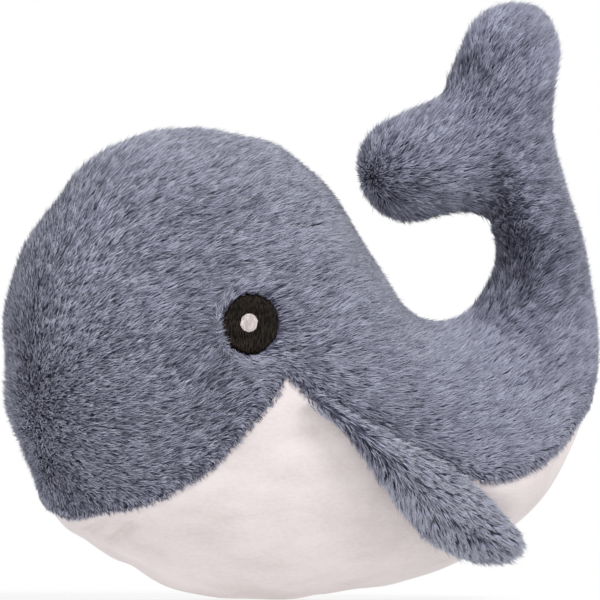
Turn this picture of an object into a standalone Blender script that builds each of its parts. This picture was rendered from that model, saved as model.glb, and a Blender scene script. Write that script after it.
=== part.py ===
"""Plush whale: fur side panels, a short-pile belly, stuffing, embroidered eyes and two sewn flippers.

Units are metres, +Z is up, the head points to -X and the left side is -Y.
The flukes lie in the plane of symmetry, one upright and one folded towards the head.
"""

import math

import bmesh
import bpy
from mathutils import Matrix, Vector
from mathutils.bvhtree import BVHTree

# Overall sizes
overall_length = 0.250
overall_height = 0.2505
body_width = 0.136
tail_width = 0.044

# Fabric and seams
fur_wall = 0.0050
belly_wall = 0.0025
seam_gap = 0.0003
rest_cut_depth = 0.0005

# Below this height the belly settles flat under the whale's weight
sag_height = 0.030

# Flippers
flipper_length = 0.1290
flipper_depth = 0.0335
flipper_outer_bulge = 0.0100
flipper_inner_bulge = 0.0052
flipper_root_radius = 0.0045
flipper_wall = 0.0028
thinnest_filled_depth = 0.0084
flipper_curl = 0.0160
lean_step_deg = 0.5
most_lean_deg = 45.0

# Embroidered eyes
eye_width = 0.0230
eye_height = 0.0255
eye_thickness = 0.0016
eye_below_fur = 0.0012
highlight_width = 0.0072
highlight_height = 0.0080
highlight_thickness = 0.0008
rim_share = 0.3

# How far cutters reach past what they cut
overrun = 0.020

# Ribs of the body, tail and upright fluke, from the nose to the fluke's tip.
# Each holds the back's x and z, the underside's x and z, as shares of the overall length and height,
# then the half width as a share of half the body width.
body_rib_shares = [
    (0.012, 0.565, 0.008, 0.300, 0.44),
    (0.064, 0.664, 0.052, 0.172, 0.75),
    (0.148, 0.753, 0.150, 0.078, 0.93),
    (0.268, 0.800, 0.290, 0.014, 1.01),
    (0.396, 0.793, 0.425, -0.002, 1.02),
    (0.500, 0.748, 0.550, 0.008, 0.97),
    (0.575, 0.658, 0.675, 0.032, 0.88),
    (0.632, 0.550, 0.802, 0.080, 0.74),
    (0.692, 0.468, 0.915, 0.178, 0.60),
    (0.790, 0.480, 0.992, 0.330, 0.46),
    (0.832, 0.565, 1.004, 0.450, 0.385),
]
tail_rib_shares = [
    (0.826, 0.630, 0.972, 0.600, 0.330),
    (0.790, 0.710, 0.926, 0.740, 0.305),
    (0.750, 0.815, 0.914, 0.845, 0.295),
    (0.756, 0.910, 0.938, 0.920, 0.280),
    (0.788, 0.985, 0.918, 0.985, 0.205),
]
nose_pole_shares = (-0.004, 0.435)
upper_tip_shares = (0.866, 1.004)

# Ribs of the fluke that folds towards the head, from inside the tail to its tip.
lower_fluke_rib_shares = [
    (0.840, 0.835, 0.850, 0.645, 0.250),
    (0.762, 0.850, 0.790, 0.652, 0.295),
    (0.700, 0.838, 0.730, 0.640, 0.295),
    (0.640, 0.806, 0.668, 0.630, 0.275),
    (0.600, 0.770, 0.614, 0.660, 0.195),
]
lower_root_shares = (0.880, 0.735)
lower_tip_shares = (0.591, 0.715)

# The seam between fur and belly, seen from the side, as shares of the overall length and height.
front_seam_shares = [
    (0.060, 0.146), (0.120, 0.144), (0.187, 0.147), (0.238, 0.152), (0.284, 0.174),
    (0.332, 0.203), (0.374, 0.237), (0.412, 0.275), (0.444, 0.315), (0.472, 0.362),
]
rear_seam_shares = [
    (0.545, 0.326), (0.628, 0.283), (0.716, 0.232), (0.790, 0.193), (0.833, 0.190),
    (0.868, 0.198), (0.902, 0.216), (0.937, 0.242), (0.962, 0.285), (0.990, 0.330),
]

# Where the flipper's sewn edge starts and ends, and the middle of the eye, as shares of length and height.
flipper_front_shares = (0.486, 0.352)
flipper_rear_shares = (0.628, 0.279)
eye_place_shares = (0.4155, 0.4625)

# The flipper's outline: place along its length, upper edge and lower edge as shares of its depth,
# and thickness as a share of its bulge.
flipper_rib_shares = [
    (0.080, 0.045, -0.070, 0.36),
    (0.230, 0.055, -0.240, 0.72),
    (0.390, 0.075, -0.560, 0.94),
    (0.550, 0.080, -0.830, 1.00),
    (0.720, -0.010, -0.940, 0.97),
    (0.880, -0.190, -0.850, 0.84),
]
flipper_pole_shares = (0.000, -0.010)
flipper_tip_shares = (1.000, -0.490)

# Where the stuffing is divided, as the back's and the underside's x and z on each cut.
tail_cut_shares = ((0.640, 0.545), (0.790, 0.075))
fluke_cut_shares = ((0.700, 0.700), (0.965, 0.730))

ring_points = 8
flipper_ring_points = 6
sewn_share = 0.34
end_inset_ratio = 1.6
least_end_share = 0.25
curl_steps = 8
fullness = 2.15
widest_share = 0.52
sag_spread_share = 0.86
seam_steps = 2
eye_stitch_sides = 20

# Each finish's colour and roughness
finishes = {
    "side_fur": ((0.205, 0.215, 0.300), 0.95),
    "flipper_fur": ((0.195, 0.205, 0.290), 0.95),
    "belly_plush": ((0.790, 0.740, 0.720), 0.90),
    "fibre_filling": ((0.850, 0.850, 0.830), 0.90),
    "black_thread": ((0.012, 0.011, 0.010), 0.50),
    "white_thread": ((0.740, 0.690, 0.690), 0.50),
}

for old in list(bpy.data.objects):
    bpy.data.objects.remove(old, do_unlink=True)

whale = bpy.data.collections.new("plush_whale")
cutters = bpy.data.collections.new("cutters")
bpy.context.scene.collection.children.link(whale)
bpy.context.scene.collection.children.link(cutters)


def material(name):
    """A plain dielectric finish."""
    colour, roughness = finishes[name]
    mat = bpy.data.materials.new(name)
    mat.use_nodes = True
    shader = mat.node_tree.nodes["Principled BSDF"]
    shader.inputs["Base Color"].default_value = (*colour, 1.0)
    shader.inputs["Roughness"].default_value = roughness
    shader.inputs["Metallic"].default_value = 0.0
    return mat


def side_point(shares):
    """A point of the side view, from shares of the overall length and height."""
    return Vector(((shares[0] - 0.5) * overall_length, 0.0, shares[1] * overall_height))


def add_object(name, mesh, collection=whale):
    obj = bpy.data.objects.new(name, mesh)
    collection.objects.link(obj)
    if collection is cutters:
        obj.hide_render = True
        obj.display_type = "WIRE"
    return obj


def closed_loft(name, rings, start, end):
    """A cage of faces through rings of points, closed by a fan to a point at each end."""
    bm = bmesh.new()
    loops = [[bm.verts.new(p) for p in ring] for ring in rings]
    first, last = bm.verts.new(start), bm.verts.new(end)
    count = len(rings[0])
    for i in range(count):
        j = (i + 1) % count
        bm.faces.new((first, loops[0][j], loops[0][i]))
        for a, b in zip(loops, loops[1:]):
            bm.faces.new((a[i], a[j], b[j], b[i]))
        bm.faces.new((last, loops[-1][i], loops[-1][j]))
    bmesh.ops.recalc_face_normals(bm, faces=bm.faces)
    mesh = bpy.data.meshes.new(name)
    bm.to_mesh(mesh)
    bm.free()
    return mesh


def cage_swell(count):
    """How much larger a ring of control points is than the smooth ring that it makes."""
    return 6.0 / (4.0 + 2.0 * math.cos(2.0 * math.pi / count))


def rib_ring(rib):
    """A full, rounded section on the line from the back to the underside, settled flat near the floor."""
    back, under = side_point(rib[0:2]), side_point(rib[2:4])
    half_width = rib[4] * body_width / 2
    widest = back.lerp(under, widest_share)
    sag = min(1.0, max(0.0, 1.0 - under.z / sag_height))
    swell = cage_swell(ring_points)
    ring = []
    for i in range(ring_points):
        turn = 2 * math.pi * i / ring_points
        up, out = math.cos(turn), math.sin(turn)
        end = back if up > 0 else under
        reach = swell * abs(up) ** (2 / fullness)
        spread = swell * math.copysign(abs(out) ** (2 / fullness), out)
        if up < 0:
            settled = sag * min(1.0, 2 * up * up)
            reach += (1 - reach) * settled
            spread += (out * sag_spread_share - spread) * settled
        ring.append(widest + (end - widest) * reach - Vector((0.0, spread * half_width, 0.0)))
    return ring


def tail_rib(rib):
    """A tail rib keeps its half width as a share of the tail's, wherever the body's width goes."""
    return (*rib[0:4], rib[4] * tail_width / body_width / tail_rib_shares[0][4])


def smooth_form(name, mesh, inset=0.0, collection=cutters):
    """The rounded form of a cage, with its surface moved inwards by an inset."""
    obj = add_object(name, mesh, collection)
    smooth = obj.modifiers.new("smooth", "SUBSURF")
    smooth.levels = smooth.render_levels = 1
    halves = obj.modifiers.new("same diagonals", "TRIANGULATE")
    halves.quad_method = "FIXED"
    if inset:
        inwards = obj.modifiers.new("inwards", "DISPLACE")
        inwards.strength = -inset
        inwards.mid_level = 0.0
    return obj


def evaluated_mesh(obj, name):
    """The object's finished mesh, in world space."""
    bpy.context.view_layer.update()
    graph = bpy.context.evaluated_depsgraph_get()
    mesh = bpy.data.meshes.new_from_object(obj.evaluated_get(graph), depsgraph=graph)
    mesh.name = name
    mesh.transform(obj.matrix_world)
    return mesh


def boolean(obj, operation, *others):
    for other in others:
        mod = obj.modifiers.new(f"{operation.lower()} {other.name}", "BOOLEAN")
        mod.operation = operation
        mod.solver = "EXACT"
        mod.object = other


def box_cutter(name, low, high):
    """A box between two corners."""
    low, high = Vector(low), Vector(high)
    bpy.ops.mesh.primitive_cube_add(size=1.0, location=(low + high) / 2)
    obj = bpy.context.active_object
    obj.name = name
    obj.scale = high - low
    for group in obj.users_collection:
        group.objects.unlink(obj)
    cutters.objects.link(obj)
    obj.hide_render = True
    obj.display_type = "WIRE"
    return obj


def smooth_path(points, steps):
    """Points on a curve through the given points, with even slopes at each."""
    points = [Vector(p) for p in points]
    ends = [points[0] * 2 - points[1], *points, points[-1] * 2 - points[-2]]
    path = []
    for a, b, c, d in zip(ends, ends[1:], ends[2:], ends[3:]):
        for k in range(steps):
            t = k / steps
            path.append(
                b + 0.5 * t * ((c - a) + t * ((2 * a - 5 * b + 4 * c - d) + t * (3 * (b - c) + d - a)))
            )
    path.append(points[-1])
    return path


def moved_sideways(path, distance):
    """A path in the side view, moved to its left by a distance."""
    moved = []
    for i, point in enumerate(path):
        along = (path[min(i + 1, len(path) - 1)] - path[max(i - 1, 0)]).normalized()
        moved.append(point + Vector((-along.z, 0.0, along.x)) * distance)
    return moved


def prism_cutter(name, outline, half_depth, placement):
    """A flat outline, carried straight to both sides of its plane."""
    curve = bpy.data.curves.new(name, "CURVE")
    curve.dimensions = "2D"
    curve.fill_mode = "BOTH"
    curve.extrude = half_depth
    spline = curve.splines.new("POLY")
    spline.points.add(len(outline) - 1)
    for point, (across_x, across_y) in zip(spline.points, outline):
        point.co = (across_x, across_y, 0.0, 1.0)
    spline.use_cyclic_u = True
    flat = bpy.data.objects.new(name + "_outline", curve)
    flat.matrix_world = placement
    cutters.objects.link(flat)
    mesh = evaluated_mesh(flat, name)
    bpy.data.objects.remove(flat, do_unlink=True)
    bm = bmesh.new()
    bm.from_mesh(mesh)
    bmesh.ops.remove_doubles(bm, verts=bm.verts, dist=seam_gap / 10)
    bmesh.ops.recalc_face_normals(bm, faces=bm.faces)
    bm.to_mesh(mesh)
    bm.free()
    return add_object(name, mesh, cutters)


def side_view_prism(name, outline):
    """An outline of the side view, carried straight across the body."""
    upright = Matrix.Rotation(math.radians(90), 4, "X")
    return prism_cutter(name, [(point.x, point.z) for point in outline], across, upright)


def mirrored(obj, name, mat):
    """The same piece for the other side of the whale."""
    mesh = evaluated_mesh(obj, name)
    mesh.transform(Matrix.Scale(-1.0, 4, (0.0, 1.0, 0.0)))
    mesh.flip_normals()
    mesh.materials.clear()
    mesh.materials.append(mat)
    return add_object(name, mesh)


def finish(obj, mat):
    obj.data.materials.clear()
    obj.data.materials.append(mat)


# The outer form, at first where the shares put it
body_ribs = body_rib_shares + [tail_rib(r) for r in tail_rib_shares]
body_mesh = closed_loft(
    "body_form", [rib_ring(r) for r in body_ribs], side_point(nose_pole_shares), side_point(upper_tip_shares)
)
fluke_mesh = closed_loft(
    "lower_fluke_form",
    [rib_ring(tail_rib(r)) for r in lower_fluke_rib_shares],
    side_point(lower_root_shares),
    side_point(lower_tip_shares),
)
body_form = smooth_form("body_form", body_mesh)
fluke_form = smooth_form("lower_fluke_form", fluke_mesh)

# It is then centred over the middle of its base, with the flat under the belly at z = 0
corners = [v.co.copy() for v in evaluated_mesh(body_form, "measured").vertices]
middle = (min(c.x for c in corners) + max(c.x for c in corners)) / 2
lowest = min(c.z for c in corners)
centring = Vector((-middle, 0.0, -lowest - rest_cut_depth))
for mesh in (body_mesh, fluke_mesh):
    mesh.transform(Matrix.Translation(centring))


def placed(shares):
    """A point of the side view after centring."""
    return side_point(shares) + centring


fur_cavity = smooth_form("fur_cavity", body_mesh, fur_wall)
fluke_cavity = smooth_form("lower_fluke_cavity", fluke_mesh, fur_wall)
belly_cavity = smooth_form("belly_cavity", body_mesh, belly_wall)

# The seam between fur and belly, with half a gap to each side
far = overall_length / 2 + overrun
across = body_width / 2 + overrun
front_seam = smooth_path([placed(s) for s in front_seam_shares], seam_steps)
rear_seam = smooth_path([placed(s) for s in rear_seam_shares], seam_steps)


def below_seam(name, shift):
    """The space below the seam, which is moved up by a shift."""
    front = moved_sideways(front_seam, shift)
    rear = moved_sideways(rear_seam, shift)
    outline = [Vector((-far, 0.0, front[0].z)), *front, *rear]
    outline += [Vector((far, 0.0, rear[-1].z)), Vector((far, 0.0, -overrun)), Vector((-far, 0.0, -overrun))]
    return side_view_prism(name, outline)


below_fur = below_seam("below_fur", seam_gap / 2)
belly_space = below_seam("belly_space", -seam_gap / 2)
filling_space = below_seam("filling_space", -seam_gap)
right_half = box_cutter(
    "right_half", (-far, -seam_gap / 2, -overrun), (far, across, overall_height + overrun)
)
floor = box_cutter("floor", (-far, -across, -overrun), (far, across, 0.0))


# Side panels
side_fur = material("side_fur")
left_side = smooth_form("left_side_panel", body_mesh.copy(), 0.0, whale)
boolean(left_side, "UNION", fluke_form)
boolean(left_side, "DIFFERENCE", fur_cavity, fluke_cavity, right_half, below_fur)
finish(left_side, side_fur)

# Belly panel, one piece across both sides
belly = smooth_form("belly_panel", body_mesh.copy(), 0.0, whale)
boolean(belly, "INTERSECT", belly_space)
boolean(belly, "DIFFERENCE", belly_cavity, floor)
finish(belly, material("belly_plush"))


# Stuffing, divided where the tail and the flukes begin
def past_cut(name, cut_shares, upwards):
    """The space beyond a cut across the body, towards the tail, or short of it."""
    low, high = placed(cut_shares[1]), placed(cut_shares[0])
    along = (high - low).normalized()
    beyond = Vector((along.z, 0.0, -along.x))
    shift = beyond * (seam_gap / 2) * (-1 if upwards else 1)
    far_side = beyond * (overall_height + overrun) * (1 if upwards else -1)
    start, stop = low - along * overall_height, high + along * overall_height
    outline = [start + shift, stop + shift, stop + far_side, start + far_side]
    return side_view_prism(name, outline)


filling_white = material("fibre_filling")
body_beyond = past_cut("tail_side_of_cut", tail_cut_shares, True)
body_short = past_cut("body_side_of_cut", tail_cut_shares, False)
fluke_beyond = past_cut("fluke_side_of_cut", fluke_cut_shares, True)
fluke_short = past_cut("tail_side_of_fluke_cut", fluke_cut_shares, False)
belly_layer = smooth_form("belly_layer", body_mesh, belly_wall + seam_gap)
boolean(belly_layer, "INTERSECT", filling_space)


def filling(name, mesh):
    obj = smooth_form(name, mesh.copy(), fur_wall + seam_gap, whale)
    finish(obj, filling_white)
    return obj


body_filling = filling("body_stuffing", body_mesh)
boolean(body_filling, "UNION", belly_layer)
tail_filling = filling("tail_stuffing", body_mesh)
boolean(tail_filling, "UNION", belly_layer)
upper_filling = filling("upper_fluke_stuffing", body_mesh)
lower_filling = filling("lower_fluke_stuffing", fluke_mesh)
boolean(lower_filling, "DIFFERENCE", fur_cavity)
boolean(body_filling, "DIFFERENCE", body_beyond)
boolean(tail_filling, "DIFFERENCE", body_short, fluke_beyond)
boolean(upper_filling, "DIFFERENCE", body_short, fluke_short)


# The body's surface, for what is sewn on it
body_surface = BVHTree.FromObject(body_form, bpy.context.evaluated_depsgraph_get())


def on_left_side(shares):
    """The place on the body's left side behind a point of the side view, and the way it faces."""
    start = placed(shares) - Vector((0.0, across, 0.0))
    place, normal, _, _ = body_surface.ray_cast(start, Vector((0.0, 1.0, 0.0)))
    return place, normal


def frame_at(origin, along, outwards):
    """A matrix with X along a direction and -Y facing outwards."""
    x = along.normalized()
    y = -(outwards - x * outwards.dot(x)).normalized()
    z = x.cross(y)
    frame = Matrix((x, y, z)).transposed().to_4x4()
    frame.translation = origin
    return frame


def disc(name, width, height, thickness, collection=whale):
    """An oval patch with its front face towards -Y, its back at y = 0 and a rounded rim."""
    bm = bmesh.new()
    bmesh.ops.create_cone(bm, cap_ends=True, segments=eye_stitch_sides, radius1=0.5, radius2=0.5, depth=1.0)
    bmesh.ops.rotate(bm, verts=bm.verts, matrix=Matrix.Rotation(math.radians(90), 3, "X"))
    bmesh.ops.translate(bm, verts=bm.verts, vec=(0.0, -0.5, 0.0))
    bmesh.ops.scale(bm, verts=bm.verts, vec=(width, thickness, height))
    mesh = bpy.data.meshes.new(name)
    bm.to_mesh(mesh)
    bm.free()
    obj = add_object(name, mesh, collection)
    if collection is whale:
        rim = obj.modifiers.new("rounded rim", "BEVEL")
        rim.width = thickness * rim_share
        rim.segments = 1
    return obj


# Embroidered eyes, sunk in the pile
eye_place, eye_facing = on_left_side(eye_place_shares)
eye_frame = frame_at(eye_place, Vector((1.0, 0.0, 0.0)), eye_facing)
eye_floor = Matrix.Translation((0.0, eye_below_fur + eye_thickness, 0.0))
pocket = disc(
    "eye_pocket",
    eye_width + 2 * seam_gap,
    eye_height + 2 * seam_gap,
    eye_below_fur + eye_thickness + seam_gap + overrun,
    cutters,
)
pocket.matrix_world = eye_frame @ Matrix.Translation((0.0, eye_below_fur + eye_thickness + seam_gap, 0.0))
boolean(left_side, "DIFFERENCE", pocket)

black_thread = material("black_thread")
white_thread = material("white_thread")
left_eye = disc("left_eye", eye_width, eye_height, eye_thickness)
left_eye.matrix_world = eye_frame @ eye_floor
finish(left_eye, black_thread)
left_highlight = disc("left_eye_highlight", highlight_width, highlight_height, highlight_thickness)
left_highlight.matrix_world = eye_frame @ Matrix.Translation((0.0, eye_below_fur - seam_gap, 0.0))
finish(left_highlight, white_thread)
mirrored(left_eye, "right_eye", black_thread)
mirrored(left_highlight, "right_eye_highlight", white_thread)
mirrored(left_side, "right_side_panel", side_fur)


# Flippers, each sewn by its upper front edge into the seam and turning about it
front_place, _ = on_left_side(flipper_front_shares)
rear_place, _ = on_left_side(flipper_rear_shares)
middle_place, middle_facing = on_left_side(
    tuple((a + b) / 2 for a, b in zip(flipper_front_shares, flipper_rear_shares))
)
seam_frame = frame_at(front_place, rear_place - front_place, middle_facing)
bulge_between = max(0.0, -(seam_frame.inverted() @ middle_place).y)
seam_offset = Matrix.Translation((0.0, -(flipper_root_radius + seam_gap + bulge_between), 0.0))


def flipper_ring(rib, inset):
    """A section of the flipper: full outwards, flatter towards the body."""
    place, top, bottom, fatness = rib
    x = place * flipper_length
    top, bottom = top * flipper_depth - inset, bottom * flipper_depth + inset
    swell = cage_swell(flipper_ring_points)
    ring = []
    for i in range(flipper_ring_points):
        turn = 2 * math.pi * i / flipper_ring_points
        up, out = math.cos(turn), math.sin(turn)
        bulge = (flipper_outer_bulge if out > 0 else flipper_inner_bulge) * fatness - inset
        ring.append(Vector((x, -swell * out * bulge, (top + bottom) / 2 + swell * up * (top - bottom) / 2)))
    return ring


def side_of_flipper(shares, ring, inset):
    """The point that closes an end of the flipper, drawn in towards the nearest ring."""
    point = Vector((shares[0] * flipper_length, 0.0, shares[1] * flipper_depth))
    centre = sum(ring, Vector()) / len(ring)
    if not inset:
        return point
    drawn_in = end_inset_ratio * inset / (point - centre).length
    return centre + (point - centre) * max(least_end_share, 1.0 - drawn_in)


def flipper_mesh(name, inset=0.0):
    """The flipper's cage, or that of the space inside its fabric."""
    ribs = flipper_rib_shares
    if inset:
        ribs = [r for r in ribs if (r[1] - r[2]) * flipper_depth > thinnest_filled_depth]
    rings = [flipper_ring(r, inset) for r in ribs]
    start = side_of_flipper(flipper_pole_shares, rings[0], inset)
    end = side_of_flipper(flipper_tip_shares, rings[-1], inset)
    return closed_loft(name, rings, start, end)


def curl_at(x):
    """How far the flipper has moved towards the body at a place along it."""
    past_edge = max(0.0, x / flipper_length - sewn_share) / (1 - sewn_share)
    return flipper_curl * past_edge ** 2


def curled_form(name, inset=0.0):
    """The flipper's form, curled towards the body, with its surface moved inwards by an inset."""
    mesh = flipper_mesh(name, inset)
    for vertex in mesh.vertices:
        vertex.co.y += curl_at(vertex.co.x)
    return smooth_form(name, mesh)


def beside_flipper_seam(name, shift, side):
    """The space on one side of the curled surface that the flipper's edge seam lies in."""
    steps = [i / curl_steps for i in range(curl_steps + 1)]
    xs = [share * (flipper_length + 2 * overrun) - overrun for share in steps]
    outline = [(x, curl_at(x) + shift) for x in xs]
    outline += [(xs[-1], side * 2 * overrun), (xs[0], side * 2 * overrun)]
    return prism_cutter(name, outline, flipper_depth + overrun, root)


def nearest_body(frame, mesh):
    """How far a mesh in a frame stays from the body, negative inside it."""
    gaps = []
    for vertex in mesh.vertices:
        point = frame @ vertex.co
        place, normal, _, _ = body_surface.find_nearest(point)
        gaps.append((point - place).dot(normal))
    return min(gaps)


flipper_fur = material("flipper_fur")
flipper_form = curled_form("flipper_form")
flipper_hollow = curled_form("flipper_hollow", flipper_wall)
filling_form = curled_form("flipper_filling_form", flipper_wall + seam_gap)

# The flipper leans out about its sewn edge until it only rests on the body
lean = 0.0
root = seam_frame @ seam_offset
whole_flipper = evaluated_mesh(flipper_form, "whole_flipper")
while nearest_body(root, whole_flipper) < seam_gap and lean < math.radians(most_lean_deg):
    lean += math.radians(lean_step_deg)
    root = seam_frame @ seam_offset @ Matrix.Rotation(-lean, 4, "X")


outer_side = beside_flipper_seam("outer_side_of_flipper", seam_gap / 2, -1)
inner_side = beside_flipper_seam("inner_side_of_flipper", -seam_gap / 2, 1)
flipper_hollow.matrix_world = root


def flipper_piece(name, form, mat, *removed):
    """A piece of the flipper on its hinge."""
    obj = smooth_form(name, form.data.copy(), 0.0, whale)
    obj.matrix_world = root
    boolean(obj, "DIFFERENCE", *removed)
    finish(obj, mat)
    return obj


flipper_pieces = [
    flipper_piece("left_flipper_outer_panel", flipper_form, flipper_fur, flipper_hollow, inner_side),
    flipper_piece("left_flipper_inner_panel", flipper_form, flipper_fur, flipper_hollow, outer_side),
    flipper_piece("left_flipper_stuffing", filling_form, filling_white),
]
for piece in flipper_pieces:
    mirrored(piece, piece.name.replace("left", "right"), piece.data.materials[0])
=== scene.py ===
import math

import bpy
import numpy as np
from mathutils import Matrix, Vector


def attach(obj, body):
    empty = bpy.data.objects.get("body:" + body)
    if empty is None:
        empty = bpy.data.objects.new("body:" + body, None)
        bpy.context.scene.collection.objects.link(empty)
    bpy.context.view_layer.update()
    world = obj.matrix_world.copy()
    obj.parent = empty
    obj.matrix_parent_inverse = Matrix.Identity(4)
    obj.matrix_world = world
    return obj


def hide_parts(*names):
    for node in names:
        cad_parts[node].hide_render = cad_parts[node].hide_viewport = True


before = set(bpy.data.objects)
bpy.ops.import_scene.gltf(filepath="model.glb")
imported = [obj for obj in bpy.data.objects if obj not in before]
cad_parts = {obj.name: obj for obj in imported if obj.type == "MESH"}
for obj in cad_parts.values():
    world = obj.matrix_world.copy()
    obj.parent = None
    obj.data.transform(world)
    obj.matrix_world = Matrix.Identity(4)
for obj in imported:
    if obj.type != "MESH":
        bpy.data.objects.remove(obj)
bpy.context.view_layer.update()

# Metres, +Z up, the head points to -X and the whale's left side is -Y.
random = np.random.default_rng(7)
furShare = 1.0


# A two-digit channel c of an sRGB hex colour becomes ((c + 0.055) / 1.055) ^ 2.4, or c / 12.92 where dark.
def linear(hexColour):
    channels = np.array([int(hexColour[i : i + 2], 16) for i in (1, 3, 5)]) / 255
    light = np.where(channels <= 0.04045, channels / 12.92, ((channels + 0.055) / 1.055) ** 2.4)
    return (*light.tolist(), 1.0)


# Adds one node, sets its sockets and attributes, and links its inputs from other nodes' outputs.
def addNode(tree, kind, settings=(), links=()):
    node = tree.nodes.new(kind)
    for key, value in dict(settings).items():
        if isinstance(key, str) and hasattr(node, key):
            setattr(node, key, value)
        else:
            node.inputs[key].default_value = value
    for key, source in dict(links).items():
        tree.links.new(source, node.inputs[key])
    return node


# A new material with its shader's constant sockets set.
def newMaterial(name, sockets):
    material = bpy.data.materials.new(name)
    material.use_nodes = True
    shader = material.node_tree.nodes["Principled BSDF"]
    for key, value in sockets.items():
        shader.inputs[key].default_value = value
    return material, material.node_tree, shader


# The scale at which a noise texture's marks measure so many millimetres: 1000 over their size.
def noiseScale(millimetres):
    return 1000 / millimetres


# Colours of a ramp, from pairs of place and hex colour.
def setRamp(ramp, stops):
    elements = ramp.color_ramp.elements
    while len(elements) > 1:
        elements.remove(elements[-1])
    elements[0].position, elements[0].color = stops[0][0], linear(stops[0][1])
    for place, colour in stops[1:]:
        elements.new(place).color = linear(colour)


# One mesh from an array of points and arrays of corner numbers, one array for each count of corners.
def newPiece(name, points, faces, material, cornerUv=None):
    mesh = bpy.data.meshes.new(name)
    sizes = np.concatenate([np.full(len(f), f.shape[1]) for f in faces])
    corners = np.concatenate([f.ravel() for f in faces])
    mesh.vertices.add(len(points))
    mesh.vertices.foreach_set("co", points.astype(np.float32).ravel())
    mesh.loops.add(len(corners))
    mesh.loops.foreach_set("vertex_index", corners.astype(np.int32))
    mesh.polygons.add(len(sizes))
    mesh.polygons.foreach_set("loop_start", (np.cumsum(sizes) - sizes).astype(np.int32))
    mesh.polygons.foreach_set("use_smooth", np.ones(len(sizes), bool))
    if cornerUv is not None:
        mesh.uv_layers.new(name="OFBake").data.foreach_set("uv", cornerUv.astype(np.float32).ravel())
    mesh.update(calc_edges=True)
    mesh.materials.append(material)
    piece = bpy.data.objects.new(name, mesh)
    bpy.context.scene.collection.objects.link(piece)
    return piece


# The mesh as its modifiers leave it.
def applyModifiers(piece):
    bpy.context.view_layer.update()
    graph = bpy.context.evaluated_depsgraph_get()
    done = bpy.data.meshes.new_from_object(piece.evaluated_get(graph), depsgraph=graph)
    piece.modifiers.clear()
    piece.data = done
    done.polygons.foreach_set("use_smooth", np.ones(len(done.polygons), bool))
    return done


# Points, outward normals and triangles of a mesh, as arrays.
def meshArrays(mesh):
    points = np.empty(len(mesh.vertices) * 3, np.float32)
    normals = np.empty(len(mesh.vertices) * 3, np.float32)
    mesh.vertices.foreach_get("co", points)
    mesh.vertex_normals.foreach_get("vector", normals)
    mesh.calc_loop_triangles()
    triangles = np.empty(len(mesh.loop_triangles) * 3, np.int32)
    mesh.loop_triangles.foreach_get("vertices", triangles)
    return points.reshape(-1, 3).astype(float), normals.reshape(-1, 3).astype(float), triangles.reshape(-1, 3)


# Vectors divided by their own lengths.
def unit(vectors):
    return vectors / np.maximum(np.linalg.norm(vectors, axis=-1, keepdims=True), 1e-9)


# Vectors less their parts along the normals, so that they run along the surface.
def alongSurface(vectors, normals):
    return vectors - normals * (vectors * normals).sum(1, keepdims=True)


# A share that fades with distance: exp(-(distance / reach)^2).
def fading(distance, reach):
    return np.exp(-((distance / reach) ** 2))


# A point at f between two rows is the sum of the four nearest rows, weighted by a sixth of
# (1 - f)^3, 3f^3 - 6f^2 + 4, -3f^3 + 3f^2 + 3f + 1 and f^3.
def splineRows(rows, steps):
    count = len(rows) - 3
    place = np.linspace(0, count, count * steps + 1)
    first = np.minimum(place.astype(int), count - 1)
    f = (place - first)[:, None, None]
    weights = ((1 - f) ** 3, 3 * f**3 - 6 * f**2 + 4, -3 * f**3 + 3 * f**2 + 3 * f + 1, f**3)
    return sum(w * rows[first + k] for k, w in enumerate(weights)) / 6


# Angles of a ring's control points, and how much farther out they stand, because a spline runs inside them.
def ringTurns(count):
    return 2 * math.pi * np.arange(count) / count, 6 / (4 + 2 * math.cos(2 * math.pi / count))


# A smooth closed form through rings of control points: past each end lies the first ring turned half round,
# so the surface runs over its pole without a point. Along and around it is a cubic spline.
def smoothForm(rings, start, end, alongSteps, aroundSteps):
    half = rings.shape[1] // 2
    poles = [np.repeat(np.array(p, float)[None, None], rings.shape[1], 1) for p in (start, end)]
    rows = np.concatenate(
        [np.roll(rings[:1], half, 1), poles[0], rings, poles[1], np.roll(rings[-1:], half, 1)]
    )
    grid = splineRows(rows, alongSteps)
    wrapped = np.concatenate([grid[:, -1:], grid, grid[:, :2]], axis=1)
    grid = splineRows(wrapped.transpose(1, 0, 2), aroundSteps)[:-1].transpose(1, 0, 2)
    grid[0], grid[-1] = grid[0].mean(0), grid[-1].mean(0)
    return grid


# Faces of a closed grid: four-cornered between rows, and a fan of triangles at each pole.
def formFaces(grid):
    rows, around = grid.shape[0] - 2, grid.shape[1]
    points = np.concatenate([grid[:1, 0], grid[1:-1].reshape(-1, 3), grid[-1:, 0]])
    number = 1 + np.arange(rows * around).reshape(rows, around)
    beside = np.roll(number, -1, 1)
    quads = np.stack([number[:-1], beside[:-1], beside[1:], number[1:]], -1).reshape(-1, 4)
    zero, last = np.zeros(around, int), np.full(around, len(points) - 1)
    fans = np.concatenate(
        [np.stack([zero, beside[0], number[0]], -1), np.stack([last, number[-1], beside[-1]], -1)]
    )
    return points, [quads, fans]


print("materials")

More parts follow.
